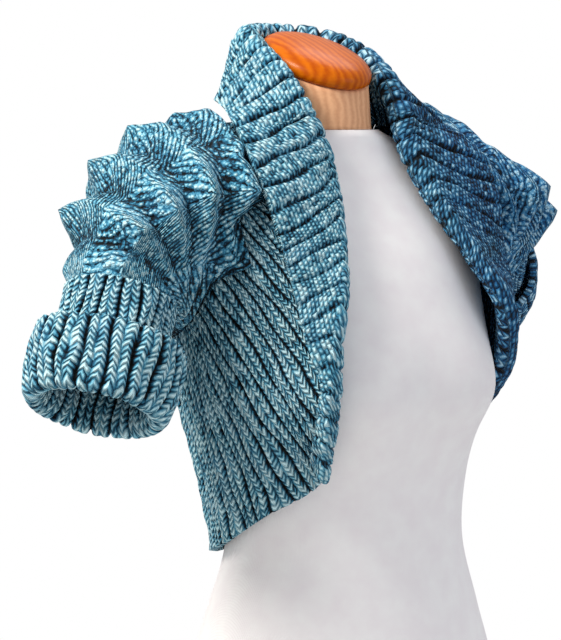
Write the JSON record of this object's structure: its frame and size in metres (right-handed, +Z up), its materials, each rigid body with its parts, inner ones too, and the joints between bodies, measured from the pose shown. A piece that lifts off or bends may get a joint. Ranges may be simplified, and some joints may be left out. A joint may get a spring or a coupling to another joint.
{
  "type": "cardigan on a dress form",
  "caption": "Short chunky hand-knitted cardigan with a ribbed shawl band, sleeves and yoke of pointed mitred squares and turned-back cuffs, worn open on a limbless dress form.",
  "frame": {"origin": "centre of the dress form's flat base, on the surface it stands on", "axes": "+Z up the form, -Y the way its front faces, +X the wearer's left"},
  "size_m": [0.7254, 0.3206, 0.7323],
  "materials": {
    "knit_wool": "matt knitted wool, heathered",
    "form_cover": "plain stretched jersey",
    "form_neck": "satin",
    "form_cap": "glossy varnish"
  },
  "bodies": {
    "root": {"back_yoke": "knit_wool", "sleeve_right": "knit_wool", "sleeve_left": "knit_wool", "lower_sleeve_right": "knit_wool", "lower_sleeve_left": "knit_wool", "cuff_right": "knit_wool", "cuff_left": "knit_wool", "collar": "knit_wool", "front_right": "knit_wool", "front_left": "knit_wool", "hem_band": "knit_wool", "form_body": "form_cover", "form_neck": "form_neck", "form_cap": "form_cap"}
  },
  "joints": []
}
